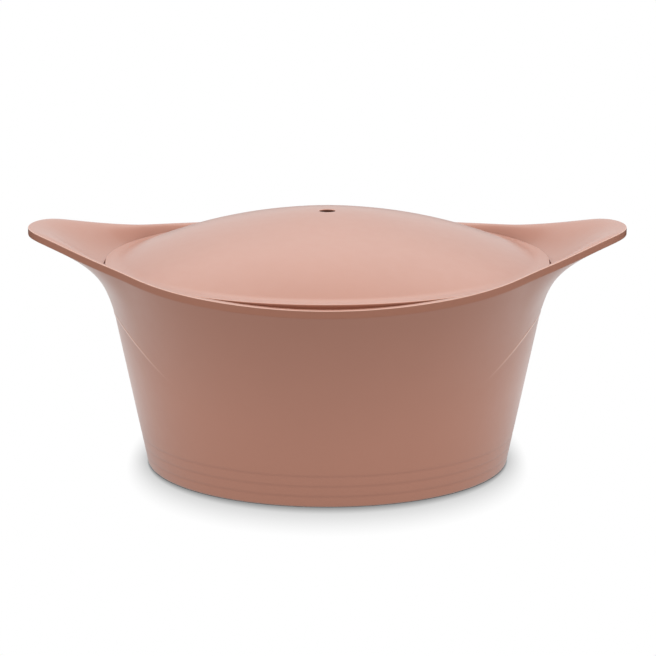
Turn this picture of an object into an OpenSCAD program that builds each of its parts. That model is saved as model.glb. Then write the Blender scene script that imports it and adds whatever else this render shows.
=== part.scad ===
// Round casserole pot with two drawn-out ear handles and a nested, knobless dome lid.
// Millimetres. +Z is up, the ears lie along X, and the origin is the middle of the base on the table.

/* [Pot wall] */
// Diameter of the pot where its wall meets the table
base_d = 195; // [188:0.5:200]
// Lean of the plain lower wall, in degrees from upright
wall_lean = 11.5; // [11:0.1:12]
// Thickness of the wall, measured level
wall_t = 4.5; // [4:0.1:5]
// Thickness of the floor
floor_t = 7; // [6:0.5:8]
// Rounding between floor and wall inside the pot
floor_round = 10; // [6:0.5:14]
// Rounding of the outer edge of the base
base_round = 1.3; // [1:0.1:2]

/* [Rim] */
// Diameter of the rim across the front and back
rim_d = 248.2; // [247:0.2:252]
// Height of the rim at the front and back
rim_h = 108.4; // [108:0.1:109]
// Height of the upright band round the rim's edge
band_h = 4; // [3.5:0.1:5]
// Rounding of the upper edges of the rim and the lid
edge_round = 0.6; // [0.3:0.1:0.8]

/* [Ears] */
// Length over both ear tips
ear_span = 320; // [312:1:326]
// Level above the rim's front that the ear tips come near
ear_lift = 20.3; // [17:0.1:22]
// Rise that the rim's line heads for before it levels off at the tips
ear_rise = 23.4; // [21:0.1:26]
// Power of that rise along the pot's length
rise_power = 2.6; // [2.2:0.1:3]
// Radius of an ear's round tip, seen from above
ear_tip_r = 41.2; // [40:0.1:44]
// Softness of the corner where an ear's flank meets the round rim
flank_soft = 1.1; // [0.5:0.1:1.5]

/* [Flare] */
// Height of the crease where the wall starts to flare, under the ears
crease_side = 81; // [76:0.5:84]
// Height of the crease at the front and back
crease_front = 46; // [44:0.5:60]
// Angle from the ear's axis at which the crease starts to fall
crease_from = 12; // [6:1:18]
// Angle from the ear's axis at which the crease stops falling
crease_to = 66; // [55:1:75]
// Sharpness of the crease, as the share of the flare that starts straight off
crease_kick = 0.12; // [0:0.01:0.15]
// Power of the flare's curve under the ears
flare_side = 3.5; // [3:0.1:4]
// Power of the flare's curve at the front and back
flare_front = 1.7; // [1.4:0.1:2]

/* [Lid seat] */
// Diameter of the recess that the lid drops into
seat_d = 241.2; // [240:0.2:242]
// Height of the ledge that carries the lid
ledge_z = 107; // [106.4:0.1:107.4]
// Height of the seat's lip, where the ears' dished tops begin
lip_z = 108.1; // [107.8:0.1:108.2]

/* [Lid] */
// Diameter of the lid
lid_d = 237.6; // [236:0.2:239]
// Thickness of the lid's brim at its edge
brim_t = 3.3; // [3:0.1:4]
// Thickness of the lid's dome
dome_t = 3.2; // [2.8:0.1:3.6]
// Radius of the domed top
dome_r = 270; // [262:1:280]
// Height of the dome's top above the ledge
dome_h = 27.9; // [27:0.1:29]
// Radius of the hollow sweep between dome and brim
sweep_r = 15; // [12:1:18]
// Outer diameter of the skirt that centres the lid in the pot
skirt_d = 225; // [220:0.5:226]
// Thickness of the skirt
skirt_t = 3; // [2.5:0.1:4]
// Depth of the skirt below the ledge
skirt_h = 5.8; // [4:0.2:7]
// Diameter of the steam vent
vent_d = 8.7; // [7:0.1:10]
// Width of the chamfer round the vent
vent_chamfer = 0.8; // [0.4:0.1:1.2]

/* [Base rings] */
// Height of the lowest ring groove
ring_first = 5.7; // [4.5:0.1:7]
// Distance between ring grooves
ring_step = 5.6; // [5:0.1:6.5]
// Number of ring grooves
ring_count = 3; // [1:1:4]
// Radius of a ring groove's hollow
ring_r = 0.9; // [0.6:0.1:1.2]
// Depth of a ring groove
ring_depth = 0.2; // [0.15:0.05:0.5]

/* [Induction plate] */
// Diameter of the steel plate let into the base
plate_d = 150; // [130:1:160]
// Thickness of the plate
plate_t = 1.6; // [1:0.1:2]
// Diameter of the holes that key the plate to the casting
key_d = 7; // [5:0.5:9]
// Distance between the rings of key holes
key_step = 20; // [18:0.5:22]
// Number of rings of key holes
key_rings = 3; // [1:1:3]

/* [Hidden] */
$fn = 96;
eps = 0.05;
coating = "#B98574";
steel = "#B9BABC";

// Points round the lofted rim, rows up its flare and rows across its dished top
sides = 180;
flare_rows = 10;
dish_rows = [1, 0.93, 0.82, 0.7, 0.55, 0.42, 0.3, 0.2, 0.1, 0.04, 0];
// Degrees by which the loft's points crowd from the front and back towards the ears
ear_crowd = 17;
// Angles of the points round the rim's upper edge
edge_turns = [0, 45];
// Powers of the rise across the plain rim and across an ear's dish, and the ear share that is all dish
land_power = 2.5;
bell_power = 1.3;
dish_share = 0.35;
// Height at which the plain cone hands over to the loft
split_z = 40;
// Small step that keeps the loft's flat sides clear of the true cone
loft_clear = 0.12;
// Level above every part of the pot
over_z = ledge_z + 60;

base_r = base_d / 2;
rim_r0 = rim_d / 2;
seat_r = seat_d / 2;
lip_r = seat_r - 1;
ear_reach = ear_span / 2;
ear_x = ear_reach - ear_tip_r;

// An ear's flank is the line touching its tip circle, flank_d from the pot's axis
flank_d = 120;
flank_a = acos((flank_d - ear_tip_r) / ear_x);
tip_a = atan2(ear_tip_r * sin(flank_a), ear_x + ear_tip_r * cos(flank_a));

lid_r = lid_d / 2;
skirt_r = skirt_d / 2;
skirt_z = ledge_z - skirt_h;
dome_z = ledge_z + dome_h - dome_r;

// The hollow sweep touches the dome's circle from outside and runs out level into the brim
sweep_z = ledge_z + brim_t + sweep_r;
sweep_x = sqrt(pow(dome_r + sweep_r, 2) - pow(sweep_z - dome_z, 2));
meet_x = sweep_x * dome_r / (dome_r + sweep_r);
meet_z = dome_z + (sweep_z - dome_z) * dome_r / (dome_r + sweep_r);

// Softness with which the ears level off at their tips
tip_soft = 1.5;

plate_gap = 0.2;

function mix(a, b, t) = a + (b - a) * t;

function smooth(t) = let (c = min(1, max(0, t))) c * c * (3 - 2 * c);

// Rounded maximum and minimum of two lengths
function soft_max(a, b, soft) = (a + b) / 2 + sqrt(pow((a - b) / 2, 2) + soft * soft);
function soft_min(a, b, soft) = a + b - soft_max(a, b, soft);

// Angle from the nearest ear's axis, 0 to 90
function from_ear(a) = abs((a + 90) % 180 - 90);

// Radius of the plain wall at a height
function wall_r(z) = base_r + z * tan(wall_lean);

// Middle of a rounding between a level floor at z and the wall line that starts at radius r0
function round_x(r0, z, r) = r0 + (z + r) * tan(wall_lean) - r / cos(wall_lean);

// Outline of an ear in plan: its round tip, then its straight flank
function tip_r(b) = ear_x * cos(b) + sqrt(pow(ear_tip_r, 2) - pow(ear_x * sin(b), 2));
function flank_r(b) = flank_d / cos(flank_a - min(b, flank_a));
function ear_r(b) = b < tip_a ? tip_r(b) : flank_r(b);

// Outer edge of the rim: radius and height at an angle
function rim_r(a) = soft_max(rim_r0, ear_r(from_ear(a)), flank_soft);
function rim_z(a) =
    let (rise = ear_rise * pow(abs(rim_r(a) * cos(a)) / ear_reach, rise_power))
    rim_h + soft_min(rise, ear_lift, tip_soft);

// How far an angle lies out on an ear: 0 on the round rim, 1 at the tip
function ear_share(a) = max(0, rim_r(a) - rim_r0) / (ear_reach - rim_r0);

function crease_z(a) =
    mix(crease_side, crease_front, smooth((from_ear(a) - crease_from) / (crease_to - crease_from)));

// Flare from 0 at the crease to 1 under the rim, later and steeper with a higher power
function flare(u, power) = mix(pow(u, power), u, crease_kick);

// Point on the flared wall, u from the crease to the underside of the rim's band
function wall_point(a, u) =
    let (top = rim_z(a) - band_h)
    let (z = mix(crease_z(a), top, u))
    let (power = mix(flare_side, flare_front, smooth(from_ear(a) / crease_to)))
    let (r = wall_r(z) + loft_clear + (rim_r(a) - wall_r(top) - loft_clear) * flare(u, power))
    [r * cos(a), r * sin(a), z];

// Point on the rounding of the rim's upper edge, t degrees round from its side towards its top
function edge_point(a, t) =
    let (r = rim_r(a) - edge_round * (1 - cos(t)))
    [r * cos(a), r * sin(a), rim_z(a) - edge_round * (1 - sin(t))];

// Rise across the rim's top from the seat's lip, s = 0, to the edge, s = 1
function land_rise(s) = 1 - pow(1 - s, land_power);
function bell_rise(s) = pow(sin(90 * s), bell_power);

// Point on the rim's top, v from the seat's lip to the edge's rounding
function dish_point(a, v) =
    let (r = mix(lip_r, rim_r(a) - edge_round, v))
    let (s = (r - lip_r) / (rim_r(a) - lip_r))
    let (rise = mix(land_rise(s), bell_rise(s), smooth(ear_share(a) / dish_share)))
    [r * cos(a), r * sin(a), mix(lip_z, rim_z(a), rise)];

function foot_point(a) =
    let (r = wall_r(split_z) + loft_clear)
    [r * cos(a), r * sin(a), split_z];

// The upper pot with its ears, solid inside: rows of points from the split up to the lip
module flared_rim() {
    angles = [for (j = [0 : sides - 1]) let (t = 360 * j / sides) t - ear_crowd * sin(2 * t)];
    rows = concat(
        [[for (a = angles) foot_point(a)]],
        [for (k = [0 : flare_rows]) [for (a = angles) wall_point(a, k / flare_rows)]],
        [for (t = edge_turns) [for (a = angles) edge_point(a, t)]],
        [for (v = dish_rows) [for (a = angles) dish_point(a, v)]]);
    last = len(rows) - 1;
    strips = [for (i = [0 : last - 1], j = [0 : sides - 1])
        let (p = i * sides + j, q = i * sides + (j + 1) % sides)
        each [[p, p + sides, q + sides], [p, q + sides, q]]];
    foot_face = [for (j = [0 : sides - 1]) j];
    lip_face = [for (j = [sides - 1 : -1 : 0]) last * sides + j];
    polyhedron([for (row = rows) each row], concat([foot_face], strips, [lip_face]), convexity = 6);
}

// The plain lower wall as a solid of revolution, with its rounded foot
module plain_wall() {
    foot_x = round_x(base_r, 0, base_round);
    touch = [foot_x + base_round * cos(wall_lean), base_round - base_round * sin(wall_lean)];
    rotate_extrude() {
        polygon([[0, 0], [foot_x, 0], touch, [wall_r(split_z), split_z], [0, split_z]]);
        translate([foot_x, base_round]) circle(base_round);
    }
}

// The room inside the pot, with the lid's seat at its mouth
module cavity() {
    inner_r = base_r - wall_t;
    turn = [round_x(inner_r, floor_t, floor_round), floor_t + floor_round];
    touch = turn + floor_round * [cos(wall_lean), -sin(wall_lean)];
    mouth_r = wall_r(ledge_z) - wall_t;
    rotate_extrude() {
        polygon([[0, floor_t], [turn.x, floor_t], touch, [mouth_r, ledge_z],
            [seat_r, ledge_z], [seat_r, over_z], [0, over_z]]);
        translate(turn) circle(floor_round);
    }
}

module ring_groove(z) {
    rotate_extrude()
        translate([wall_r(z) + ring_r - ring_depth, z]) circle(ring_r);
}

// Rings of round keys that lock plate and casting together, cut as holes or left as studs
module keys(d, h) {
    for (k = [1 : key_rings], i = [0 : 6 * k - 1])
        rotate(360 * i / (6 * k)) translate([k * key_step, 0, 0]) cylinder(d = d, h = h);
}

module pot_body() {
    color(coating) {
        difference() {
            union() {
                plain_wall();
                flared_rim();
            }
            cavity();
            for (i = [0 : ring_count - 1]) ring_groove(ring_first + i * ring_step);
            difference() {
                translate([0, 0, -1]) cylinder(d = plate_d + 2 * plate_gap, h = plate_t + 1);
                keys(key_d - 2 * plate_gap, plate_t + eps);
            }
        }
    }
}

module dome_disc(r) {
    translate([0, dome_z]) circle(r);
}

// Half section of the brim with its rounded upper edge, taken down to the skirt's foot
module brim_section() {
    edge = [lid_r - edge_round, ledge_z + brim_t - edge_round];
    translate([sweep_x, skirt_z]) square([edge.x - sweep_x, ledge_z + brim_t - skirt_z]);
    translate([edge.x, skirt_z]) square([edge_round, edge.y - skirt_z]);
    translate(edge) circle(edge_round);
}

// Half section of the lid: dome, hollow sweep, flat brim and centring skirt
module lid_section() {
    difference() {
        union() {
            intersection() {
                dome_disc(dome_r);
                translate([0, skirt_z]) square([meet_x, over_z]);
            }
            difference() {
                translate([meet_x, skirt_z]) square([sweep_x - meet_x, meet_z - skirt_z]);
                translate([sweep_x, sweep_z]) circle(sweep_r);
            }
            brim_section();
        }
        intersection() {
            dome_disc(dome_r - dome_t);
            square([skirt_r - skirt_t, over_z]);
        }
        translate([skirt_r, skirt_z - 1]) square([lid_r, skirt_h + 1]);
    }
}

module lid() {
    apex_z = dome_z + dome_r;
    sink = vent_chamfer + eps;
    color(coating) {
        difference() {
            rotate_extrude() lid_section();
            translate([0, 0, apex_z - 2 * dome_t]) cylinder(d = vent_d, h = 3 * dome_t);
            translate([0, 0, apex_z - vent_chamfer])
                cylinder(d1 = vent_d, d2 = vent_d + 2 * sink, h = sink);
        }
    }
}

module induction_plate() {
    color(steel) {
        difference() {
            cylinder(d = plate_d, h = plate_t);
            translate([0, 0, -1]) keys(key_d, plate_t + 2);
        }
    }
}

pot_body();
lid();
induction_plate();
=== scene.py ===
"""Looks of a cast casserole pot with drawn-out ear handles and a nested dome lid.

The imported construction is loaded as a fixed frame, in metres, with +Z up, the ears along X and the
middle of the base at the origin. The pot and the lid are lofted again as smooth, round-edged
castings over their construction solids, the steel plate keeps its own solid, and every surface gets
its finish.
"""

import logging
import math
from dataclasses import dataclass, field, replace
from enum import Enum

import bmesh
import bpy
from mathutils import Matrix, Vector


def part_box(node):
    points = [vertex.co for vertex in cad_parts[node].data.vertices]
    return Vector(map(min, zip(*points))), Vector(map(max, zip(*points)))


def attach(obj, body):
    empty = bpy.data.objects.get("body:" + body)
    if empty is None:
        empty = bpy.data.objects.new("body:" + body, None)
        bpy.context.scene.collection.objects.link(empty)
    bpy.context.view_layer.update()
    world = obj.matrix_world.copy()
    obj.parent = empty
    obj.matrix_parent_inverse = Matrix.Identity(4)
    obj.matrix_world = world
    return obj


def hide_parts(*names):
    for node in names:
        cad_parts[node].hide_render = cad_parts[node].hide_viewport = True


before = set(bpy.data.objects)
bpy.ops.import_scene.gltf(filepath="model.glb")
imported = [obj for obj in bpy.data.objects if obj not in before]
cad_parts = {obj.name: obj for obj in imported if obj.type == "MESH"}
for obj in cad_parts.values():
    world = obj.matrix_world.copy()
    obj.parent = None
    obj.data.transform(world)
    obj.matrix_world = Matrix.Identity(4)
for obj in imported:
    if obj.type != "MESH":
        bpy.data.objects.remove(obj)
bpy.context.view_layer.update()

LOG = logging.getLogger("casserole")
MM = 0.001

# Point attribute of the castings: above 0 the coating is worn thin and lightened as a painted
# highlight, below 0 it is darkened as painted shade
WEAR_AND_PAINTED_LIGHT = "edge_wear_and_painted_light"

# Place in the frame, in metres
Point = tuple[float, float, float]

# Radius, height, and wear and painted light, at one place on a section
Station = tuple[float, float, float]

# Linear red, green and blue
Colour = tuple[float, float, float]

# Node tree of a finish or a light, and an input or output of one of its nodes
Tree = bpy.types.ShaderNodeTree
Socket = bpy.types.NodeSocket

# Point, edge or face of a mesh
MeshPart = bmesh.types.BMVert | bmesh.types.BMEdge | bmesh.types.BMFace


class Body(Enum):
    """Moving groups of the construction that a piece can ride on."""

    POT = "pot"
    LID = "lid"


class Slot(Enum):
    """Names of finishes in the record."""

    POT = "pot_coating"
    LID = "lid_coating"


def mix(a: float, b: float, t: float) -> float:
    """Value a share t of the way from a to b."""
    return a + (b - a) * t


def smooth(t: float) -> float:
    """Soft step from 0 to 1."""
    c = min(1.0, max(0.0, t))
    return c * c * (3 - 2 * c)


def soft_max(a: float, b: float, soft: float) -> float:
    """Rounded maximum of two lengths."""
    return (a + b) / 2 + math.hypot((a - b) / 2, soft)


def soft_min(a: float, b: float, soft: float) -> float:
    """Rounded minimum of two lengths."""
    return a + b - soft_max(a, b, soft)


def spread(start: float, end: float, steps: int) -> list[float]:
    """Evenly spaced values from start to end, both included."""
    return [mix(start, end, k / steps) for k in range(steps + 1)]


@dataclass(frozen=True)
class Corner:
    """Point of a section, in radius and height, with what its rounding takes from each side.

    A corner with no rounding is a plain point. Above 0, up to 1, its wear and painted light says how
    thin the coating is there and how much highlight is painted on; below 0, how much shade is
    painted on.
    """

    r: float
    z: float
    cut: float = 0.0
    wear_and_painted_light: float = 0.0


def rounded(corners: list[Corner], steps: int = 5, most: float = 0.45) -> list[Station]:
    """Section line with its corners rounded.

    Args:
        corners: Points of the section, in order.
        steps: Short edges that each rounding is made of.
        most: Share of a side's length that one rounding may take.

    Returns:
        Radius, height, and wear and painted light, along the line: one point for each plain corner,
        steps + 1 for each rounding, whose wear and painted highlight peak in its middle.
    """
    line: list[Station] = []
    for i, corner in enumerate(corners):
        here = Vector((corner.r, corner.z))
        if corner.cut <= 0 or i in (0, len(corners) - 1):
            line.append((here.x, here.y, corner.wear_and_painted_light))
            continue
        back = Vector((corners[i - 1].r, corners[i - 1].z)) - here
        ahead = Vector((corners[i + 1].r, corners[i + 1].z)) - here
        cut = min(corner.cut, most * back.length, most * ahead.length)
        start = here + back.normalized() * cut
        end = here + ahead.normalized() * cut
        for t in spread(0.0, 1.0, steps):
            p = start.lerp(here, t).lerp(here.lerp(end, t), t)
            line.append((p.x, p.y, corner.wear_and_painted_light * 4 * t * (1 - t)))
    return line


class RingLoft:
    """Closed round casting that is grown ring by ring from a circle.

    Each ring has one point for each angle, and the section at that angle gives every ring's radius,
    height, and wear and painted light there.
    """

    WELD = 0.001 * MM

    def __init__(self, name: str, sections: list[list[Station]]) -> None:
        """Keeps the sections to loft.

        Args:
            name: Name of the new piece.
            sections: One section for each angle, all with the same number of points.
        """
        self.name = name
        self.sections = sections
        self.sides = len(sections)

    def grow(self, poles: bool) -> bpy.types.Object:
        """Lofts the piece.

        Args:
            poles: True closes the first and last ring with a pole, False joins the last to the
                first.

        Returns:
            The new object, smooth-shaded, with its faces pointing outwards.
        """
        bpy.ops.object.select_all(action="DESELECT")
        bpy.ops.mesh.primitive_circle_add(vertices=self.sides, radius=self.sections[0][0][0])
        piece = bpy.context.object
        piece.name = self.name
        bpy.ops.object.mode_set(mode="EDIT")
        bmesh.from_edit_mesh(piece.data).verts.layers.float.new(WEAR_AND_PAINTED_LIGHT)
        bpy.ops.mesh.select_mode(type="VERT")
        bpy.ops.mesh.select_all(action="SELECT")
        self._place(piece, 0)
        if poles:
            self._pole()
            self._select_ring(piece, 0)
        for row in range(1, len(self.sections[0])):
            bpy.ops.mesh.extrude_region_move()
            self._place(piece, row)
        if poles:
            self._pole()
        bpy.ops.mesh.select_all(action="SELECT")
        bpy.ops.mesh.remove_doubles(threshold=self.WELD)
        bpy.ops.mesh.normals_make_consistent(inside=False)
        self._settle(piece)
        bpy.ops.object.mode_set(mode="OBJECT")
        bpy.ops.object.shade_smooth()
        weighted = piece.modifiers.new("weighted", "WEIGHTED_NORMAL")
        bpy.ops.object.modifier_apply(modifier=weighted.name)
        return piece

    def _place(self, piece: bpy.types.Object, row: int) -> None:
        """Moves the selected ring's points to their radius and height in a row of the sections.

        Args:
            piece: Piece that is being lofted.
            row: Row of the sections.
        """
        mesh = bmesh.from_edit_mesh(piece.data)
        wear_layer = mesh.verts.layers.float[WEAR_AND_PAINTED_LIGHT]
        for vertex in [v for v in mesh.verts if v.select]:
            turn = math.atan2(vertex.co.y, vertex.co.x)
            side = round(turn / math.tau * self.sides) % self.sides
            r, z, wear_and_painted_light = self.sections[side][row]
            angle = math.tau * side / self.sides
            vertex.co = (r * math.cos(angle), r * math.sin(angle), z)
            vertex[wear_layer] = wear_and_painted_light
        bmesh.update_edit_mesh(piece.data, loop_triangles=False, destructive=False)

    def _settle(self, piece: bpy.types.Object) -> None:
        """Puts the points, edges and faces in an order that depends on their places alone.

        Args:
            piece: Piece that is being lofted.
        """
        mesh = bmesh.from_edit_mesh(piece.data)
        self._sort(mesh.verts, {vertex: [tuple(vertex.co)] for vertex in mesh.verts})
        for parts in (mesh.edges, mesh.faces):
            self._sort(parts, {part: sorted(tuple(v.co) for v in part.verts) for part in parts})
        bmesh.update_edit_mesh(piece.data)

    def _sort(self, parts: bmesh.types.BMElemSeq, places: dict[MeshPart, list[Point]]) -> None:
        """Sorts parts of a mesh by their places.

        Args:
            parts: All points, edges or faces of the mesh.
            places: Where each part's points are.
        """
        rank = {part: i for i, part in enumerate(sorted(parts, key=places.get))}
        parts.sort(key=rank.get)
        parts.index_update()

    def _pole(self) -> None:
        """Closes the selected ring to a point in its middle."""
        bpy.ops.mesh.extrude_region_move()
        bpy.ops.mesh.merge(type="CENTER")

    def _select_ring(self, piece: bpy.types.Object, row: int) -> None:
        """Selects only the ring of a row, by its distance from the axis.

        Args:
            piece: Piece that is being lofted.
            row: Row of the sections.
        """
        bpy.ops.mesh.select_all(action="DESELECT")
        mesh = bmesh.from_edit_mesh(piece.data)
        least = 0.5 * min(section[row][0] for section in self.sections)
        for vertex in mesh.verts:
            vertex.select = vertex.co.xy.length > least
        mesh.select_flush_mode()
        bmesh.update_edit_mesh(piece.data, loop_triangles=False, destructive=False)


def node_input(nodes: bpy.types.Nodes, kind: str, **values: object) -> bpy.types.Node:
    """Adds a shader node and sets its named inputs.

    Args:
        nodes: Node list of a material or a group.
        kind: Blender's name of the node's type.
        **values: Input values, with underscores for the spaces in their names.

    Returns:
        The new node.
    """
    node = nodes.new(kind)
    for name, value in values.items():
        node.inputs[name.replace("_", " ")].default_value = value
    return node


def mixed_colour(tree: Tree, share: Socket, first: Socket, second: Socket) -> Socket:
    """Mixes two colours in a shader tree.

    Args:
        tree: Tree that gets the new node.
        share: Share of the second colour.
        first: First colour.
        second: Second colour.

    Returns:
        The mixed colour's socket.
    """
    blend = tree.nodes.new("ShaderNodeMix")
    blend.data_type = "RGBA"
    tree.links.new(share, blend.inputs["Factor"])
    tree.links.new(first, blend.inputs["A"])
    tree.links.new(second, blend.inputs["B"])
    return blend.outputs["Result"]


def reckoned(tree: Tree, operation: str, first: Socket, second: Socket | float) -> Socket:
    """Works out a number from two others in a shader tree.

    Args:
        tree: Tree that gets the new node.
        operation: Blender's name of the operation.
        first: First number's socket.
        second: Second number, or its socket.

    Returns:
        The result's socket.
    """
    node = tree.nodes.new("ShaderNodeMath")
    node.operation = operation
    tree.links.new(first, node.inputs[0])
    if isinstance(second, float):
        node.inputs[1].default_value = second
    else:
        tree.links.new(second, node.inputs[1])
    return node.outputs["Value"]


class CastSkin:
    """Shader group for a sprayed and baked coating on a casting, shared by pot and lid."""

    NAME = "cast_skin"
    INPUTS = {
        "Tint Low": "NodeSocketColor",
        "Tint High": "NodeSocketColor",
        "Worn And Highlight Tint": "NodeSocketColor",
        "Painted Shade Tint": "NodeSocketColor",
        "Cloud Scale": "NodeSocketFloat",
        "Gloss Low": "NodeSocketFloat",
        "Gloss High": "NodeSocketFloat",
        "Peel Scale": "NodeSocketFloat",
    }
    OUTPUTS = {
        "Colour": "NodeSocketColor",
        "Roughness": "NodeSocketFloat",
        "Height": "NodeSocketFloat",
    }
    NOISE_LOW = 0.3
    NOISE_HIGH = 0.7
    GLOSS_SCALE = 160.0

    def __init__(self) -> None:
        """Starts the group with its inputs, its outputs and the place on the piece."""
        self.tree = bpy.data.node_groups.new(self.NAME, "ShaderNodeTree")
        for in_out, sockets in (("INPUT", self.INPUTS), ("OUTPUT", self.OUTPUTS)):
            for name, kind in sockets.items():
                self.tree.interface.new_socket(name=name, in_out=in_out, socket_type=kind)
        self.nodes, self.links = self.tree.nodes, self.tree.links
        self.given = self.nodes.new("NodeGroupInput").outputs
        self.made = self.nodes.new("NodeGroupOutput").inputs
        self.place = self.nodes.new("ShaderNodeTexCoord").outputs["Object"]

    @classmethod
    def group(cls) -> Tree:
        """Returns the group, which is built on the first call."""
        return bpy.data.node_groups.get(cls.NAME) or cls().build()

    def build(self) -> Tree:
        """Builds the group: a cloudy tint with wear, painted highlights and painted shade, a lively
        gloss and a fine orange-peel height.

        Returns:
            The group.
        """
        self._tint()
        self._gloss()
        peel = node_input(self.nodes, "ShaderNodeTexNoise", Detail=2.0, Roughness=0.5)
        self.links.new(self.place, peel.inputs["Vector"])
        self.links.new(self.given["Peel Scale"], peel.inputs["Scale"])
        self.links.new(peel.outputs["Fac"], self.made["Height"])
        return self.tree

    def _spread(self, noise: bpy.types.Node) -> bpy.types.Node:
        """Stretches a noise's usual values over their whole range.

        Args:
            noise: Noise node, which gets its place on the piece here.

        Returns:
            The new node.
        """
        low, high = self.NOISE_LOW, self.NOISE_HIGH
        even = node_input(self.nodes, "ShaderNodeMapRange", From_Min=low, From_Max=high)
        self.links.new(self.place, noise.inputs["Vector"])
        self.links.new(noise.outputs["Fac"], even.inputs["Value"])
        return even

    def _tint(self) -> None:
        """Colour: slight clouds, thinner and lighter on worn edges, which also paints highlights,
        and darker where shade is painted on.
        """
        cloud = node_input(self.nodes, "ShaderNodeTexNoise", Detail=3.0, Roughness=0.55)
        self.links.new(self.given["Cloud Scale"], cloud.inputs["Scale"])
        clouds = self._spread(cloud).outputs["Result"]
        colour = mixed_colour(self.tree, clouds, self.given["Tint Low"], self.given["Tint High"])
        wear_and_painted_light = self.nodes.new("ShaderNodeAttribute")
        wear_and_painted_light.attribute_name = WEAR_AND_PAINTED_LIGHT
        colour = mixed_colour(self.tree, wear_and_painted_light.outputs["Fac"], colour, self.given["Worn And Highlight Tint"])
        painted_shade = reckoned(self.tree, "MULTIPLY", wear_and_painted_light.outputs["Fac"], -1.0)
        colour = mixed_colour(self.tree, painted_shade, colour, self.given["Painted Shade Tint"])
        self.links.new(colour, self.made["Colour"])

    def _gloss(self) -> None:
        """Roughness that varies from place to place."""
        gloss = node_input(self.nodes, "ShaderNodeTexNoise", Scale=self.GLOSS_SCALE, Detail=4.0)
        rough = self._spread(gloss)
        self.links.new(self.given["Gloss Low"], rough.inputs["To Min"])
        self.links.new(self.given["Gloss High"], rough.inputs["To Max"])
        self.links.new(rough.outputs["Result"], self.made["Roughness"])


def blank_material(name: str) -> tuple[bpy.types.Material, bpy.types.Node]:
    """New node material with only a Principled shader.

    Args:
        name: Name of the material.

    Returns:
        The material and its shader node.
    """
    material = bpy.data.materials.new(name)
    material.use_nodes = True
    return material, material.node_tree.nodes["Principled BSDF"]


@dataclass(frozen=True)
class CoatFinish:
    """Satin ceramic coating on a casting: colours are linear, scales are per metre."""

    name: str
    tint_low: Colour
    tint_high: Colour
    # Tint of worn edges, which also paints highlights, and tint of painted shade
    worn_and_highlight_tint: Colour = (0.97, 0.63, 0.51)
    painted_shade_tint: Colour = (0.12, 0.04, 0.025)
    cloud_scale: float = 14.0
    gloss_low: float = 0.40
    gloss_high: float = 0.46
    peel_scale: float = 1300.0
    peel_depth: float = 0.05 * MM
    peel_strength: float = 0.35
    shine: float = 0.45
    glaze: float = 1.0
    glaze_roughness: float = 0.28
    glaze_ior: float = 1.33

    def material(self) -> bpy.types.Material:
        """Makes the coating.

        Returns:
            The new material.
        """
        material, shader = blank_material(self.name)
        nodes, links = material.node_tree.nodes, material.node_tree.links
        skin = nodes.new("ShaderNodeGroup")
        skin.node_tree = CastSkin.group()
        for name, value in (
            ("Tint Low", (*self.tint_low, 1.0)),
            ("Tint High", (*self.tint_high, 1.0)),
            ("Worn And Highlight Tint", (*self.worn_and_highlight_tint, 1.0)),
            ("Painted Shade Tint", (*self.painted_shade_tint, 1.0)),
            ("Cloud Scale", self.cloud_scale),
            ("Gloss Low", self.gloss_low),
            ("Gloss High", self.gloss_high),
            ("Peel Scale", self.peel_scale),
        ):
            skin.inputs[name].default_value = value
        shader.inputs["Specular IOR Level"].default_value = self.shine
        shader.inputs["Coat Weight"].default_value = self.glaze
        shader.inputs["Coat Roughness"].default_value = self.glaze_roughness
        shader.inputs["Coat IOR"].default_value = self.glaze_ior
        strength, depth = self.peel_strength, self.peel_depth
        bump = node_input(nodes, "ShaderNodeBump", Strength=strength, Distance=depth)
        links.new(skin.outputs["Colour"], shader.inputs["Base Color"])
        links.new(skin.outputs["Roughness"], shader.inputs["Roughness"])
        links.new(skin.outputs["Height"], bump.inputs["Height"])
        links.new(bump.outputs["Normal"], shader.inputs["Normal"])
        return material


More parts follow.
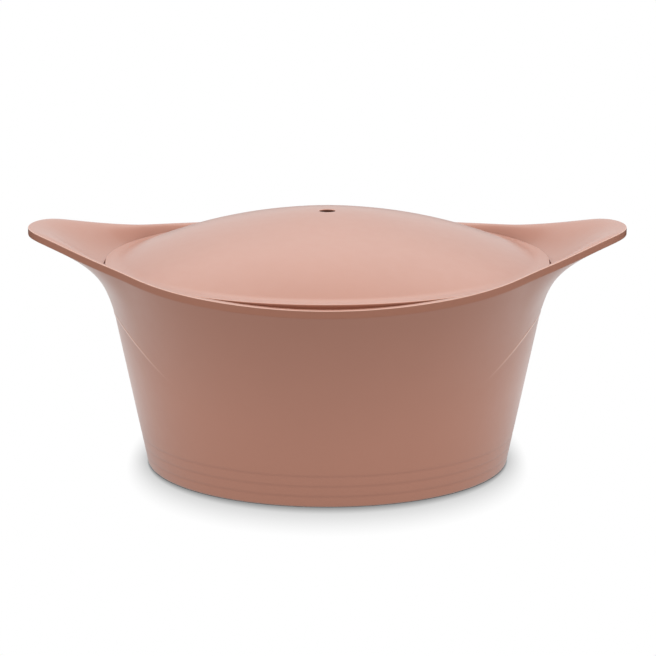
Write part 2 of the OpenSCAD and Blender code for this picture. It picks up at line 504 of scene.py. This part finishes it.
@dataclass(frozen=True)
class TurnedSteelFinish:
    """Steel with the fine circular marks of a lathe, round the piece's own axis."""

    name: str
    dark: Colour = (0.36, 0.36, 0.37)
    light: Colour = (0.56, 0.56, 0.57)
    rough_low: float = 0.24
    rough_high: float = 0.42
    marks_per_metre: float = 700.0
    mark_depth: float = 0.02 * MM
    mark_strength: float = 0.4

    def material(self) -> bpy.types.Material:
        """Makes the steel.

        Returns:
            The new material.
        """
        material, shader = blank_material(self.name)
        nodes, links = material.node_tree.nodes, material.node_tree.links
        shader.inputs["Metallic"].default_value = 1.0
        place = nodes.new("ShaderNodeTexCoord").outputs["Object"]
        flat = nodes.new("ShaderNodeVectorMath")
        flat.operation = "MULTIPLY"
        flat.inputs[1].default_value = (1.0, 1.0, 0.0)
        links.new(place, flat.inputs[0])
        radius = nodes.new("ShaderNodeVectorMath")
        radius.operation = "LENGTH"
        links.new(flat.outputs["Vector"], radius.inputs[0])
        marks = node_input(nodes, "ShaderNodeTexNoise", Detail=5.0, Roughness=0.65)
        marks.inputs["Scale"].default_value = self.marks_per_metre
        marks.noise_dimensions = "1D"
        links.new(radius.outputs["Value"], marks.inputs["W"])
        tone = nodes.new("ShaderNodeMix")
        tone.data_type = "RGBA"
        tone.inputs["A"].default_value = (*self.dark, 1.0)
        tone.inputs["B"].default_value = (*self.light, 1.0)
        links.new(marks.outputs["Fac"], tone.inputs["Factor"])
        links.new(tone.outputs["Result"], shader.inputs["Base Color"])
        low, high = self.rough_low, self.rough_high
        rough = node_input(nodes, "ShaderNodeMapRange", To_Min=low, To_Max=high)
        links.new(marks.outputs["Fac"], rough.inputs["Value"])
        links.new(rough.outputs["Result"], shader.inputs["Roughness"])
        strength, depth = self.mark_strength, self.mark_depth
        bump = node_input(nodes, "ShaderNodeBump", Strength=strength, Distance=depth)
        links.new(marks.outputs["Fac"], bump.inputs["Height"])
        links.new(bump.outputs["Normal"], shader.inputs["Normal"])
        return material


def cover(piece: bpy.types.Object, material: bpy.types.Material) -> None:
    """Gives a piece one material all over."""
    piece.data.materials.clear()
    piece.data.materials.append(material)


@dataclass(frozen=True)
class LidSeat:
    """Recess and ledge at the pot's mouth, which the lid drops into."""

    r: float = 119.8 * MM
    ledge_z: float = 107.0 * MM
    lip_z: float = 108.1 * MM
    lip_rise: float = 2.2 * MM
    lip_r: float = 119.2 * MM
    lip_soft: float = 0.3 * MM
    lip_round: float = 0.2 * MM
    corner_round: float = 0.3 * MM
    mouth_round: float = 0.8 * MM


@dataclass
class PotBody:
    """The one-piece casting: tapered wall, flared rim with two ears, lid seat and room inside."""

    seat: LidSeat

    # Wall, floor and foot, with the recess for the steel plate
    base_r: float = 97.5 * MM
    wall_lean: float = math.radians(11.5)
    wall_t: float = 4.5 * MM
    floor_t: float = 7.0 * MM
    floor_round: float = 10.0 * MM
    floor_flat_r: float = 70.0 * MM
    pole_r: float = 20.0 * MM
    base_round: float = 1.3 * MM
    recess_gap: float = 0.2 * MM
    recess_round: float = 0.25 * MM

    # Rim: its round part, its rise to the ears and the slight swell between
    rim_r0: float = 124.1 * MM
    rim_h: float = 108.4 * MM
    band_h: float = 4.0 * MM
    ear_lift: float = 20.3 * MM
    ear_rise: float = 23.4 * MM
    rise_power: float = 2.6
    shoulder_h: float = 0.45 * MM
    shoulder_x: float = 50.0 * MM
    tip_soft: float = 1.5 * MM

    # Outline of an ear, from its round tip to its straight flank
    ear_reach: float = 160.0 * MM
    ear_tip_r: float = 41.2 * MM
    flank_d: float = 120.0 * MM
    flank_soft: float = 1.1 * MM

    # Crease where the wall starts to flare, and the flare above it
    crease_side: float = 83.7 * MM
    crease_front: float = 44.0 * MM
    crease_from: float = math.radians(12)
    crease_to: float = math.radians(66)
    crease_kick: float = 0.12
    flare_side: float = 3.35
    flare_front: float = 1.7

    # Lip of the lid's seat, and the dished tops of the ears
    lip_from: float = math.radians(40)
    lip_full: float = math.radians(56)
    land_power: float = 2.5
    bell_power: float = 1.3
    bell_share: float = 0.35

    # Bead on the crease, which fades towards the front, and its wear, which also paints a highlight
    # along it
    bead_h: float = 0.26 * MM
    bead_w: float = 0.7 * MM
    bead_full: float = math.radians(18)
    bead_gone: float = math.radians(44)
    bead_wear_and_painted_highlight: float = 1.0

    # Ring grooves near the base, with shade painted into them
    ring_heights: tuple[float, ...] = (5.7 * MM, 11.3 * MM, 16.9 * MM)
    ring_w: float = 1.4 * MM
    ring_depth: float = 0.1 * MM
    ring_painted_shade: float = 0.11

    # Edges of the rim, with wear and a painted highlight along the upper edge
    edge_round: float = 0.45 * MM
    edge_wear_and_painted_light: float = 0.75
    under_round: float = 0.5 * MM

    # Points round the pot, and steps along each part of its section
    sides: int = 288
    ring_steps: int = 8
    wall_steps: int = 4
    bead_steps: int = 10
    flare_steps: int = 26
    dish_steps: int = 22
    inner_steps: int = 5
    floor_steps: int = 2

    # Worked out from the sizes above
    recess_r: float = field(init=False)
    recess_h: float = field(init=False)
    ear_x: float = field(init=False)
    flank_a: float = field(init=False)
    tip_a: float = field(init=False)

    def __post_init__(self) -> None:
        """Takes the plate's recess from the construction and works out the ears' outline."""
        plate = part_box("induction_plate")
        self.recess_r = plate[1].x + self.recess_gap
        self.recess_h = plate[1].z
        self.ear_x = self.ear_reach - self.ear_tip_r
        self.flank_a = math.acos((self.flank_d - self.ear_tip_r) / self.ear_x)
        self.tip_a = math.atan2(
            self.ear_tip_r * math.sin(self.flank_a),
            self.ear_x + self.ear_tip_r * math.cos(self.flank_a),
        )

    def wall_r(self, z: float) -> float:
        """Radius of the plain wall at a height."""
        return self.base_r + z * math.tan(self.wall_lean)

    def from_ear(self, a: float) -> float:
        """Angle from the nearest ear's axis, from 0 to a quarter turn."""
        quarter = math.pi / 2
        return abs((a + quarter) % math.pi - quarter)

    def ear_r(self, b: float) -> float:
        """Radius of an ear's outline: its round tip, then its straight flank.

        Args:
            b: Angle from the ear's axis.

        Returns:
            The radius.
        """
        if b < self.tip_a:
            along, across = self.ear_x * math.cos(b), self.ear_x * math.sin(b)
            return along + math.sqrt(self.ear_tip_r**2 - across**2)
        return self.flank_d / math.cos(self.flank_a - min(b, self.flank_a))

    def rim_r(self, a: float) -> float:
        """Radius of the rim's outer edge at an angle."""
        return soft_max(self.rim_r0, self.ear_r(self.from_ear(a)), self.flank_soft)

    def rim_z(self, a: float) -> float:
        """Height of the rim's outer edge, which climbs from the front to the ears.

        Args:
            a: Angle round the pot.

        Returns:
            The height.
        """
        out = abs(self.rim_r(a) * math.cos(a))
        rise = self.ear_rise * (out / self.ear_reach) ** self.rise_power
        swell = math.sin(0.5 * math.pi * min(2.0, out / self.shoulder_x)) ** 2
        return self.rim_h + self.shoulder_h * swell + soft_min(rise, self.ear_lift, self.tip_soft)

    def ear_share(self, a: float) -> float:
        """How far an angle lies out on an ear: 0 on the round rim, 1 at the tip."""
        return max(0.0, self.rim_r(a) - self.rim_r0) / (self.ear_reach - self.rim_r0)

    def crease_z(self, a: float) -> float:
        """Height of the crease where the wall starts to flare."""
        fall = smooth((self.from_ear(a) - self.crease_from) / (self.crease_to - self.crease_from))
        return mix(self.crease_side, self.crease_front, fall)

    def flare(self, a: float, u: float) -> float:
        """Share of the flare's reach at u, which is 0 at the crease and 1 under the rim's band."""
        power = mix(self.flare_side, self.flare_front, smooth(self.from_ear(a) / self.crease_to))
        return mix(u**power, u, self.crease_kick)

    def flared_r(self, a: float, z: float) -> float:
        """Radius of the outer wall, with its flare but without its bead.

        Args:
            a: Angle round the pot.
            z: Height above the base.

        Returns:
            The radius.
        """
        low, top = self.crease_z(a), self.rim_z(a) - self.band_h
        reach = self.rim_r(a) - self.wall_r(top)
        u = max(0.0, (z - low) / (top - low))
        return self.wall_r(z) + reach * self.flare(a, u)

    def lip_z(self, a: float) -> float:
        """Height of the lid seat's lip, which follows the rim's rise between the ears.

        Args:
            a: Angle round the pot.

        Returns:
            The height.
        """
        between = smooth((self.from_ear(a) - self.lip_from) / (self.lip_full - self.lip_from))
        rise = soft_min(self.rim_z(a) - self.rim_h, self.seat.lip_rise, self.seat.lip_soft)
        return self.seat.lip_z + between * rise

    def dish_z(self, a: float, r: float) -> float:
        """Height of the rim's top and the ears' dished tops.

        Args:
            a: Angle round the pot.
            r: Radius from the pot's axis.

        Returns:
            The height.
        """
        s = (r - self.seat.lip_r) / (self.rim_r(a) - self.seat.lip_r)
        land = 1 - max(0.0, 1 - s) ** self.land_power
        bell = math.sin(0.5 * math.pi * min(1.0, s)) ** self.bell_power
        rise = mix(land, bell, smooth(self.ear_share(a) / self.bell_share))
        return mix(self.lip_z(a), self.rim_z(a), rise)

    def _foot(self) -> list[Corner]:
        """Underside with the plate's recess, the rounded foot and the ring grooves, with shade
        painted into the grooves.

        Returns:
            The corners of this part of the section.
        """
        line = [
            Corner(self.pole_r, self.recess_h),
            Corner(self.recess_r, self.recess_h),
            Corner(self.recess_r, 0.0, self.recess_round),
            Corner(self.base_r, 0.0, self.base_round),
        ]
        for ring_z in self.ring_heights:
            for offset in spread(-self.ring_w, self.ring_w, self.ring_steps):
                dip = 0.5 * (1 + math.cos(math.pi * offset / self.ring_w))
                z = ring_z + offset
                r = self.wall_r(z) - self.ring_depth * dip
                # Shade painted into the middle of each groove
                line.append(Corner(r, z, wear_and_painted_light=-self.ring_painted_shade * dip))
        return line

    def _outside(self, a: float) -> list[Corner]:
        """Wall from the ring grooves to the rim's upper edge, with the bead on its crease; wear on
        the bead and the upper edge also paints a highlight there.

        Args:
            a: Angle round the pot.

        Returns:
            The corners of this part of the section.
        """
        crease, top = self.crease_z(a), self.rim_z(a) - self.band_h
        bead_reach = 2.2 * self.bead_w
        above_rings = self.ring_heights[-1] + 3 * self.ring_w
        below_bead, above_bead = crease - 1.5 * bead_reach, crease + 2 * bead_reach
        below_band = top - 2.5 * self.under_round
        line = [Corner(self.wall_r(z), z) for z in spread(above_rings, below_bead, self.wall_steps)]
        fade = 1 - smooth((self.from_ear(a) - self.bead_full) / (self.bead_gone - self.bead_full))
        for offset in spread(-bead_reach, bead_reach, self.bead_steps):
            z = crease + offset
            bead = self.bead_h * fade * math.exp(-((offset / self.bead_w) ** 2))
            # Wear along the bead, which also paints a highlight on it
            wear_and_painted_light = self.bead_wear_and_painted_highlight * bead / self.bead_h
            line.append(Corner(self.flared_r(a, z) + bead, z, wear_and_painted_light=wear_and_painted_light))
        flare = spread(above_bead, below_band, self.flare_steps)
        line += [Corner(self.flared_r(a, z), z) for z in flare]
        line.append(Corner(self.rim_r(a), top, self.under_round))
        # Wear along the rim's upper edge, which also paints a highlight on it
        line.append(Corner(self.rim_r(a), self.rim_z(a), self.edge_round, self.edge_wear_and_painted_light))
        return line

    def _top(self, a: float) -> list[Corner]:
        """Rim's top and ear's dish, from the edge in to the lid's seat and its ledge.

        Args:
            a: Angle round the pot.

        Returns:
            The corners of this part of the section.
        """
        seat = self.seat
        within_edge = self.rim_r(a) - 2.2 * self.edge_round
        outside_seat = seat.r + 4 * seat.lip_round
        dish = spread(within_edge, outside_seat, self.dish_steps)
        line = [Corner(r, self.dish_z(a, r)) for r in dish]
        line.append(Corner(seat.r, self.dish_z(a, seat.r), seat.lip_round))
        line.append(Corner(seat.r, seat.ledge_z, seat.corner_round))
        return line

    def _inside(self) -> list[Corner]:
        """Ledge, inner wall and floor.

        Returns:
            The corners of this part of the section.
        """
        inner_r = self.base_r - self.wall_t
        slope = math.tan(self.wall_lean)
        ledge = self.seat.ledge_z
        below_ledge = ledge - 10 * self.seat.mouth_round
        above_floor = self.floor_t + 1.6 * self.floor_round
        line = [Corner(inner_r + ledge * slope, ledge, self.seat.mouth_round)]
        wall = spread(below_ledge, above_floor, self.inner_steps)
        line += [Corner(inner_r + z * slope, z) for z in wall]
        line.append(Corner(inner_r + self.floor_t * slope, self.floor_t, self.floor_round))
        flat = spread(self.floor_flat_r, self.pole_r, self.floor_steps)
        line += [Corner(r, self.floor_t) for r in flat]
        return line

    def section(self, a: float) -> list[Station]:
        """Half section at an angle, from the middle of the base to the middle of the floor."""
        return rounded(self._foot() + self._outside(a) + self._top(a) + self._inside())

    def build(self) -> bpy.types.Object:
        """Lofts the casting.

        Returns:
            The pot's piece.
        """
        sections = [self.section(math.tau * j / self.sides) for j in range(self.sides)]
        return RingLoft("pot_casting", sections).grow(poles=True)

    def dress(self, piece: bpy.types.Object, finish: CoatFinish) -> None:
        """Finishes the casting and seats it on the pot's body.

        Args:
            piece: The pot's piece.
            finish: Its coating.
        """
        cover(piece, finish.material())
        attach(piece, Body.POT.value)
        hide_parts("pot_body")


@dataclass
class Lid:
    """The dome lid: dome, hollow sweep, flat brim, centring skirt and steam vent."""

    seat: LidSeat

    # Dome with its fuller crown, hollow sweep and brim
    brim_t: float = 3.3 * MM
    dome_t: float = 3.2 * MM
    dome_r: float = 270.0 * MM
    dome_h: float = 27.9 * MM
    crown_r: float = 52.0 * MM
    crown_h: float = 1.3 * MM
    sweep_r: float = 15.0 * MM

    # Skirt that centres the lid in the mouth, and the hollow inside it
    skirt_r: float = 112.5 * MM
    skirt_t: float = 3.0 * MM
    skirt_h: float = 5.8 * MM
    skirt_round: float = 0.8 * MM
    skirt_root: float = 0.3 * MM
    hollow_round: float = 2.0 * MM

    # Steam vent: its edge, throat and outlet, with shade painted inside its bore
    vent_r: float = 4.35 * MM
    vent_chamfer: float = 0.3 * MM
    vent_round: float = 0.25 * MM
    vent_painted_shade: float = 1.0
    throat_round: float = 0.2 * MM
    throat_step: float = 0.3 * MM
    throat_painted_shade: float = 0.9
    outlet_round: float = 0.4 * MM

    # Edge of the brim and the undercut below it, with wear that also paints a highlight on the
    # brim's and the vent's edges
    lid_r: float = 118.8 * MM
    edge_h: float = 1.0 * MM
    edge_lean: float = 0.2 * MM
    edge_round: float = 0.5 * MM
    edge_wear_and_painted_light: float = 0.55
    brim_round: float = 0.2 * MM
    undercut: float = 1.7 * MM
    undercut_round: float = 0.4 * MM

    # Where the plain stretches of the section start and end
    plain_from: float = 7.0 * MM
    sweep_margin: float = 2.0 * MM
    hollow_margin: float = 5.0 * MM

    # Points round the lid, and steps along each stretch of its section
    sides: int = 240
    dome_steps: int = 40
    sweep_steps: int = 12
    under_steps: int = 30

    # Worked out from the sizes above
    dome_z: float = field(init=False)
    sweep_z: float = field(init=False)
    sweep_x: float = field(init=False)
    meet_x: float = field(init=False)

    def __post_init__(self) -> None:
        """Works out where the dome's circle meets the hollow sweep."""
        self.dome_z = self.seat.ledge_z + self.dome_h - self.dome_r
        self.sweep_z = self.seat.ledge_z + self.brim_t + self.sweep_r
        reach = self.dome_r + self.sweep_r
        self.sweep_x = math.sqrt(reach**2 - (self.sweep_z - self.dome_z) ** 2)
        self.meet_x = self.sweep_x * self.dome_r / reach

    def crown(self, r: float) -> float:
        """Height that the dome's fuller crown adds at a radius."""
        return self.crown_h * max(0.0, 1 - (r / self.crown_r) ** 2) ** 2

    def top_z(self, r: float) -> float:
        """Height of the lid's top: its dome, then the hollow sweep to the brim.

        Args:
            r: Radius from the lid's axis.

        Returns:
            The height.
        """
        if r < self.meet_x:
            return self.dome_z + math.sqrt(self.dome_r**2 - r * r) + self.crown(r)
        return self.sweep_z - math.sqrt(self.sweep_r**2 - max(0.0, self.sweep_x - r) ** 2)

    def under_z(self, r: float) -> float:
        """Height of the dome's hollow underside at a radius."""
        return self.dome_z + math.sqrt((self.dome_r - self.dome_t) ** 2 - r * r) + self.crown(r)

    def section(self) -> list[Station]:
        """Closed half section, from the vent out over the top and back under the dome.

        Returns:
            The section's stations.
        """
        ledge = self.seat.ledge_z
        hollow_r = self.skirt_r - self.skirt_t
        sunk_r = self.vent_r + self.vent_chamfer
        throat_z = self.top_z(sunk_r) - self.vent_chamfer
        outlet_z = self.under_z(self.vent_r)
        # Shade painted inside the vent's bore and throat
        middle = Corner(self.vent_r, 0.5 * (throat_z + outlet_z), wear_and_painted_light=-self.vent_painted_shade)
        line = [
            middle,
            Corner(self.vent_r, throat_z - self.throat_step, wear_and_painted_light=-self.throat_painted_shade),
            Corner(self.vent_r, throat_z, self.throat_round),
            # Wear on the vent's edge, which also paints a highlight on it
            Corner(sunk_r, self.top_z(sunk_r), self.vent_round, self.edge_wear_and_painted_light),
        ]
        dome = spread(self.plain_from, self.meet_x - self.sweep_margin, self.dome_steps)
        sweep = spread(self.meet_x, self.sweep_x, self.sweep_steps)
        line += [Corner(r, self.top_z(r)) for r in dome + sweep]
        brim_z = self.top_z(self.lid_r)
        line += [
            # Wear on the brim's edge, which also paints a highlight on it
            Corner(self.lid_r, brim_z, self.edge_round, self.edge_wear_and_painted_light),
            Corner(self.lid_r - self.edge_lean, brim_z - self.edge_h, self.brim_round),
            Corner(self.lid_r - self.undercut, ledge, self.undercut_round),
            Corner(self.skirt_r, ledge, self.skirt_root),
            Corner(self.skirt_r, ledge - self.skirt_h, self.skirt_round),
            Corner(hollow_r, ledge - self.skirt_h, self.skirt_round),
            Corner(hollow_r, self.under_z(hollow_r), self.hollow_round),
        ]
        under = spread(hollow_r - self.hollow_margin, self.plain_from, self.under_steps)
        line += [Corner(r, self.under_z(r)) for r in under]
        line += [Corner(self.vent_r, outlet_z, self.outlet_round), middle]
        return rounded(line)

    def build(self) -> bpy.types.Object:
        """Lofts the lid.

        Returns:
            The lid's piece.
        """
        return RingLoft("lid_casting", [self.section()] * self.sides).grow(poles=False)

    def dress(self, piece: bpy.types.Object, finish: CoatFinish) -> None:
        """Finishes the lid and seats it on its own body.

        Args:
            piece: The lid's piece.
            finish: Its coating.
        """
        cover(piece, finish.material())
        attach(piece, Body.LID.value)
        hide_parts("lid")


@dataclass
class Base:
    """Steel plate in the base and the studs of the casting that key it there."""

    stud_r: float = 3.3 * MM
    stud_sides: int = 32
    stud_bevel: float = 0.2 * MM
    bevel_steps: int = 2
    sharp_from: float = math.radians(35)
    ring_step: float = 20.0 * MM
    rings: int = 3
    first_ring: int = 6

    def build_studs(self) -> bpy.types.Object:
        """Models one stud, copies it to its rings and joins the copies.

        Returns:
            The studs as one piece.
        """
        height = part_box("induction_plate")[1].z
        bpy.ops.object.select_all(action="DESELECT")
        bpy.ops.mesh.primitive_cylinder_add(
            vertices=self.stud_sides, radius=self.stud_r, depth=height
        )
        stud = bpy.context.object
        stud.data.transform(Matrix.Translation((0, 0, height / 2)))
        bevel = stud.modifiers.new("edge", "BEVEL")
        bevel.width = self.stud_bevel
        bevel.segments = self.bevel_steps
        bpy.ops.object.modifier_apply(modifier=bevel.name)
        bpy.ops.object.shade_smooth_by_angle(angle=self.sharp_from)
        copies = [self._copy(stud, place) for place in self.places()]
        bpy.ops.object.select_all(action="DESELECT")
        for copy in copies:
            copy.select_set(True)
        bpy.context.view_layer.objects.active = copies[0]
        bpy.ops.object.join()
        bpy.data.objects.remove(stud)
        copies[0].name = "key_studs"
        return copies[0]

    def places(self) -> list[Vector]:
        """Middles of the studs, in rings round the base's own middle.

        Returns:
            One place for each stud.
        """
        found = []
        for ring in range(1, self.rings + 1):
            count = self.first_ring * ring
            for i in range(count):
                a = math.tau * i / count
                found.append(Vector((math.cos(a), math.sin(a), 0)) * ring * self.ring_step)
        return found

    def _copy(self, stud: bpy.types.Object, place: Vector) -> bpy.types.Object:
        """Copies a stud to a place, with the place in its own mesh.

        Args:
            stud: Stud in the base's middle.
            place: Middle of the copy.

        Returns:
            The copy.
        """
        copy = stud.copy()
        copy.data = stud.data.copy()
        copy.data.transform(Matrix.Translation(place))
        bpy.context.scene.collection.objects.link(copy)
        return copy

    def dress(self, studs: bpy.types.Object, coat: CoatFinish, steel: TurnedSteelFinish) -> None:
        """Finishes the studs and the plate, which keeps its construction solid.

        Args:
            studs: The studs' piece.
            coat: Finish of the studs.
            steel: Finish of the plate.
        """
        cover(studs, coat.material())
        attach(studs, Body.POT.value)
        cover(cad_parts["induction_plate"], steel.material())


@dataclass(frozen=True)
class Softbox:
    """Rectangular area light that faces a point."""

    name: str
    place: Point
    aim: Point
    size: tuple[float, float]
    watts: float

    def hang(self) -> bpy.types.Object:
        """Adds the light to the scene.

        Returns:
            The light's object.
        """
        light = bpy.data.lights.new(self.name, "AREA")
        light.shape = "RECTANGLE"
        light.size, light.size_y = self.size
        light.energy = self.watts
        lamp = bpy.data.objects.new(self.name, light)
        lamp.location = self.place
        towards = Vector(self.aim) - Vector(self.place)
        lamp.rotation_euler = towards.to_track_quat("-Z", "Y").to_euler()
        bpy.context.scene.collection.objects.link(lamp)
        return lamp


@dataclass(frozen=True)
class LightFall:
    """Change of the floor's light with the distance from a point behind the pot's axis."""

    middle_y: float
    near: float
    far: float
    at_near: float
    at_far: float


@dataclass(frozen=True)
class FootShade:
    """Shade round the pot's foot: its reach beside the pot and before it, and its power."""

    beside: float
    before: float
    power: float


@dataclass(frozen=True)
class Studio:
    """Camera, floor and light, in metres but for the lens."""

    # Camera
    camera_tilt: float = math.radians(12.68)
    camera_away: float = 1.404
    aim_z: float = 0.0718
    lens_mm: float = 142.68
    sensor_mm: float = 36.0
    shift_x: float = 0.001

    # Floor, with the light that it gives back and its shade at the pot's foot
    floor_half: float = 5.0
    floor_pool: LightFall = LightFall(middle_y=0.1, near=0.305, far=0.44, at_near=0.855, at_far=0.0)
    foot_dimming: LightFall = LightFall(middle_y=0.0, near=0.1, far=0.18, at_near=0.64, at_far=1.0)
    contact_shade: FootShade = FootShade(beside=0.0008, before=0.012, power=0.85)
    broad_shade: FootShade = FootShade(beside=0.011, before=0.05, power=0.65)

    # Sky, which brightens with height, and softboxes
    sky_light: float = 0.80
    top_light: float = 1.35
    sky_from: float = 0.2
    sky_to: float = 1.0
    softboxes: tuple[Softbox, ...] = (
        Softbox(
            "top_back_light",
            place=(0.0, 1.1, 1.3),
            aim=(0.0, 0.0, 0.1),
            size=(1.8, 0.8),
            watts=3.0,
        ),
        Softbox(
            "left_light",
            place=(-1.3, 0.0, 0.5),
            aim=(0.0, 0.0, 0.07),
            size=(0.6, 1.0),
            watts=0.58,
        ),
        Softbox(
            "right_light",
            place=(1.3, 0.0, 0.5),
            aim=(0.0, 0.0, 0.07),
            size=(0.6, 1.0),
            watts=1.15,
        ),
    )

    def set_camera(self) -> None:
        """Puts the camera at the photograph's viewing angle."""
        data = bpy.data.cameras.new("camera")
        data.lens = self.lens_mm
        data.sensor_width = self.sensor_mm
        data.shift_x = self.shift_x
        camera = bpy.data.objects.new("camera", data)
        aim = Vector((0.0, 0.0, self.aim_z))
        back = Vector((0.0, -math.cos(self.camera_tilt), math.sin(self.camera_tilt)))
        camera.location = aim + self.camera_away * back
        camera.rotation_euler = (-back).to_track_quat("-Z", "Y").to_euler()
        bpy.context.scene.collection.objects.link(camera)
        bpy.context.scene.camera = camera

    def lay_floor(self) -> None:
        """Lays the floor: even white paper to the eye, shaded close to the pot's foot."""
        bpy.ops.object.select_all(action="DESELECT")
        bpy.ops.mesh.primitive_plane_add(size=2 * self.floor_half)
        floor = bpy.context.object
        floor.name = "floor"
        material, shader = blank_material("floor_paper")
        tree = material.node_tree
        tree.nodes.remove(shader)
        place = tree.nodes.new("ShaderNodeTexCoord").outputs["Object"]
        lit, seen = self._floor_light(tree, place), self._floor_seen(tree, place)
        self._show(tree, lit, seen, "Material Output")
        cover(floor, material)

    def _floor_seen(self, tree: Tree, place: Socket) -> Socket:
        """Floor as the eye sees it: white, with a fine and a broad shade at the pot's foot.

        Args:
            tree: Node tree of the floor's material.
            place: Place on the floor.

        Returns:
            The shader's socket.
        """
        nodes, links = tree.nodes, tree.links
        bearing = nodes.new("ShaderNodeVectorMath")
        bearing.operation = "NORMALIZE"
        links.new(place, bearing.inputs[0])
        split = nodes.new("ShaderNodeSeparateXYZ")
        links.new(bearing.outputs["Vector"], split.inputs["Vector"])
        ahead = reckoned(tree, "MULTIPLY", split.outputs["Y"], split.outputs["Y"])
        shades = []
        for shade in (self.contact_shade, self.broad_shade):
            beside, before = shade.beside, shade.before
            reach = node_input(nodes, "ShaderNodeMapRange", To_Min=beside, To_Max=before)
            links.new(ahead, reach.inputs["Value"])
            hollow = nodes.new("ShaderNodeAmbientOcclusion")
            links.new(reach.outputs["Result"], hollow.inputs["Distance"])
            shades.append(reckoned(tree, "POWER", hollow.outputs["AO"], shade.power))
        seen = nodes.new("ShaderNodeEmission")
        links.new(reckoned(tree, "MULTIPLY", *shades), seen.inputs["Strength"])
        return seen.outputs["Emission"]

    def _floor_light(self, tree: Tree, place: Socket) -> Socket:
        """Light that the floor gives back: a soft pool round the pot, dimmer close to its foot.

        Args:
            tree: Node tree of the floor's material.
            place: Place on the floor.

        Returns:
            The shader's socket.
        """
        nodes, links = tree.nodes, tree.links
        falls = []
        for fall in (self.floor_pool, self.foot_dimming):
            away = nodes.new("ShaderNodeVectorMath")
            away.operation = "DISTANCE"
            away.inputs[1].default_value = (0.0, fall.middle_y, 0.0)
            links.new(place, away.inputs[0])
            ramp = node_input(
                nodes,
                "ShaderNodeMapRange",
                From_Min=fall.near,
                From_Max=fall.far,
                To_Min=fall.at_near,
                To_Max=fall.at_far,
            )
            links.new(away.outputs["Value"], ramp.inputs["Value"])
            falls.append(ramp.outputs["Result"])
        glow = nodes.new("ShaderNodeEmission")
        links.new(reckoned(tree, "MULTIPLY", *falls), glow.inputs["Strength"])
        return glow.outputs["Emission"]

    def _show(self, tree: Tree, lit: Socket, seen: Socket, output: str) -> None:
        """Sends one shader to the light's own rays and another to the rays that reach the eye.

        Args:
            tree: Node tree of a material or a world.
            lit: Shader for the light.
            seen: Shader for the eye.
            output: Name of the tree's output node.
        """
        rays = tree.nodes.new("ShaderNodeLightPath")
        both = tree.nodes.new("ShaderNodeMixShader")
        tree.links.new(rays.outputs["Is Camera Ray"], both.inputs["Fac"])
        tree.links.new(lit, both.inputs[1])
        tree.links.new(seen, both.inputs[2])
        tree.links.new(both.outputs["Shader"], tree.nodes[output].inputs["Surface"])

    def light(self) -> None:
        """Hangs the softboxes in a sky that is brightest overhead."""
        world = bpy.data.worlds.new("studio")
        world.use_nodes = True
        nodes, links = world.node_tree.nodes, world.node_tree.links
        sky = nodes["Background"]
        sky.inputs["Color"].default_value = (1.0, 1.0, 1.0, 1.0)
        split = nodes.new("ShaderNodeSeparateXYZ")
        links.new(nodes.new("ShaderNodeTexCoord").outputs["Generated"], split.inputs["Vector"])
        rise = node_input(
            nodes,
            "ShaderNodeMapRange",
            From_Min=self.sky_from,
            From_Max=self.sky_to,
            To_Min=self.sky_light,
            To_Max=self.top_light,
        )
        rise.interpolation_type = "SMOOTHSTEP"
        links.new(split.outputs["Z"], rise.inputs["Value"])
        links.new(rise.outputs["Result"], sky.inputs["Strength"])
        white = node_input(nodes, "ShaderNodeBackground", Color=(1.0, 1.0, 1.0, 1.0), Strength=1.0)
        lit, seen = sky.outputs["Background"], white.outputs["Background"]
        self._show(world.node_tree, lit, seen, "World Output")
        bpy.context.scene.world = world
        for softbox in self.softboxes:
            softbox.hang()
        settings = bpy.context.scene.view_settings
        settings.view_transform = "Standard"
        settings.look = "None"


def main() -> None:
    """Builds and dresses every piece, then sets the studio."""
    logging.basicConfig(level=logging.INFO, format="%(name)s: %(message)s")
    coat = CoatFinish(
        "terracotta_coat", tint_low=(0.485, 0.210, 0.140), tint_high=(0.503, 0.218, 0.146)
    )
    lid_coat = replace(coat, name="terracotta_lid_coat")
    bare = CoatFinish("ground_casting", tint_low=(0.50, 0.49, 0.48), tint_high=(0.56, 0.55, 0.54))
    steel = TurnedSteelFinish("turned_steel")
    seat = LidSeat()

    pot = PotBody(seat)
    pot_piece = pot.build()
    pot.dress(pot_piece, coat)
    LOG.info("pot casting: %d faces", len(pot_piece.data.polygons))

    lid = Lid(seat)
    lid_piece = lid.build()
    lid.dress(lid_piece, lid_coat)
    LOG.info("lid casting: %d faces", len(lid_piece.data.polygons))

    base = Base()
    studs = base.build_studs()
    base.dress(studs, bare, steel)
    LOG.info("key studs: %d faces", len(studs.data.polygons))

    studio = Studio()
    studio.set_camera()
    studio.lay_floor()
    studio.light()


if __name__ == "__main__":
    main()
